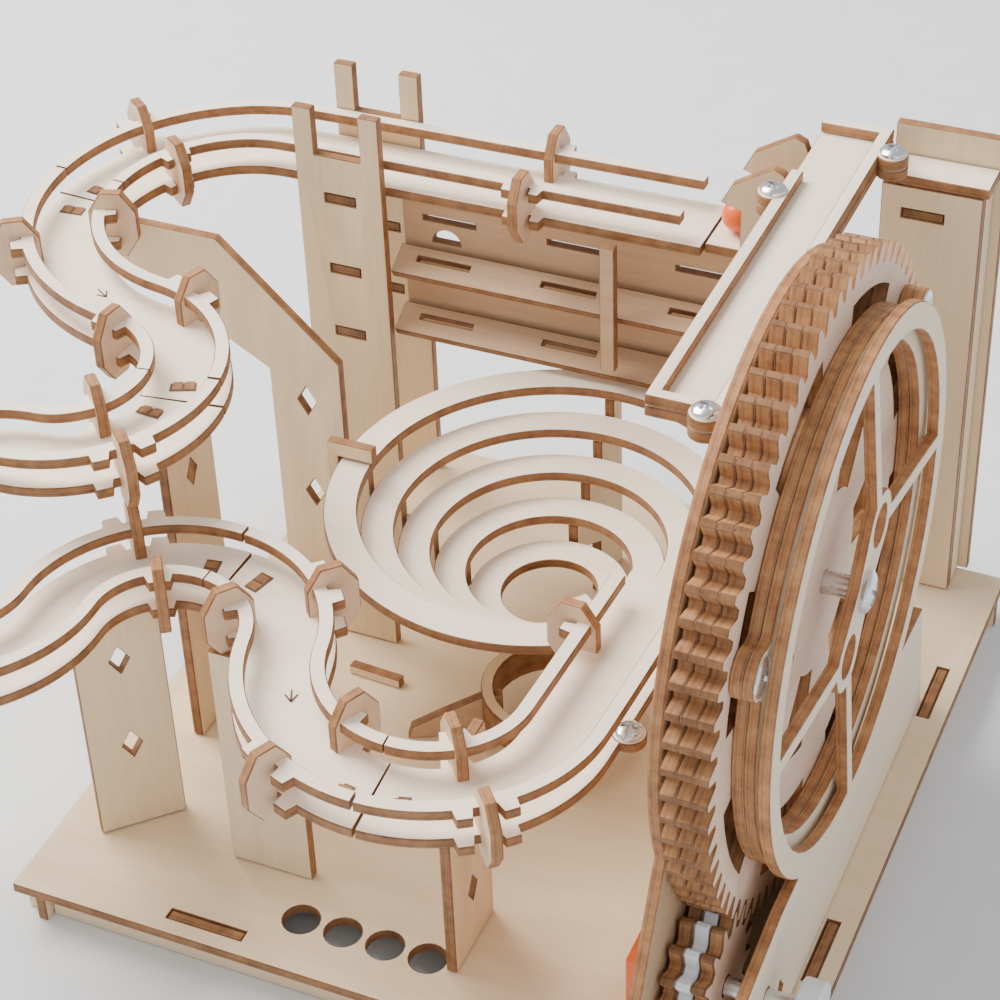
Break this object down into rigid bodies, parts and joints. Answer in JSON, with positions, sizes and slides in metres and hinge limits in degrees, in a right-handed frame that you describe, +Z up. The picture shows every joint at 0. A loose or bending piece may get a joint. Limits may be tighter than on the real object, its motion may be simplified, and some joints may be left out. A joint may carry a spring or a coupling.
{
  "type": "marble run",
  "caption": "plywood marble run: a toothed wheel lifts marbles to a chute, a railed track winds down to a spiral funnel and back to the wheel",
  "frame": {"origin": "middle of the footprint at floor level", "axes": "+X runs right along the front edge of the base, +Y runs back, +Z is up; the wheel turns about X"},
  "size_m": [0.282, 0.255, 0.1962],
  "materials": {
    "birch": "laser-cut birch plywood, fine grain, satin",
    "pale_birch": "pale laser-cut birch plywood",
    "burnt_birch": "birch plywood with laser-burnt edges",
    "steel": "bright plated steel",
    "white_plastic": "moulded, semi-gloss",
    "orange_plastic": "moulded, semi-gloss"
  },
  "bodies": {
    "frame": {"base_plate": "birch", "catch_bowl": "birch", "chute_floor": "pale_birch", "chute_rim": "pale_birch", "fork_tower_front": "birch", "fork_tower_rear": "birch", "front_skirt": "birch", "funnel_comb_left": "birch", "funnel_comb_rear": "birch", "gate_front_plate": "birch", "gate_rear_plate": "birch", "inner_side_frame": "burnt_birch", "landing_board": "pale_birch", "left_skirt": "birch", "motor_body": "orange_plastic", "outer_side_frame": "pale_birch", "rack_back": "burnt_birch", "rack_post": "burnt_birch", "rack_shelf_1": "birch", "rack_shelf_2": "birch", "rear_skirt": "birch", "right_skirt": "birch", "spiral_funnel": "pale_birch", "support_corner": "birch", "support_loop": "birch", "support_lower_bend": "birch", "support_s_bend": "birch", "support_u_turn": "birch", "tower_back": "birch", "tower_cap": "pale_birch", "tower_front": "birch", "tower_side": "birch", "track_loop_floor": "pale_birch", "track_loop_left_rail": "pale_birch", "track_loop_right_rail": "pale_birch", "track_lower_bend_floor": "pale_birch", "track_lower_bend_left_rail": "pale_birch", "track_lower_bend_right_rail": "pale_birch", "track_run_in_floor": "pale_birch", "track_run_in_left_rail": "pale_birch", "track_run_in_right_rail": "pale_birch", "track_s_bend_floor": "pale_birch", "track_s_bend_left_rail": "pale_birch", "track_s_bend_right_rail": "pale_birch", "track_straight_floor": "pale_birch", "track_straight_left_rail": "pale_birch", "track_straight_right_rail": "pale_birch"},
    "wheel": {"gear_plate_inner": "burnt_birch", "gear_plate_middle": "burnt_birch", "gear_plate_outer": "burnt_birch", "lug_ring_inner": "pale_birch", "lug_ring_outer": "pale_birch", "wheel_hub": "birch", "wheel_axle": "steel"},
    "drive": {"pinion_plate_inner": "burnt_birch", "pinion_plastic_gear": "white_plastic", "pinion_plate_outer": "burnt_birch", "pinion_shaft": "steel", "drive_knob": "white_plastic"},
    "marble": {"marble": "orange_plastic"}
  },
  "joints": [
    {"name": "wheel_spin", "type": "hinge", "parent": "frame", "child": "wheel", "pos_m": [0.11008, -0.01047, 0.1111], "axis": [1, 0, 0], "continuous": true},
    {"name": "drive_spin", "type": "hinge", "parent": "frame", "child": "drive", "pos_m": [0.11008, -0.07892, 0.03588], "axis": [1, 0, 0], "continuous": true},
    {"name": "marble_roll", "type": "slide", "parent": "frame", "child": "marble", "axis": [-1, 0, 0], "range_m": [0, 0.09]}
  ],
  "couplings": [
    {"joint": "drive_spin", "follows": "wheel_spin", "ratio": -4.5}
  ]
}
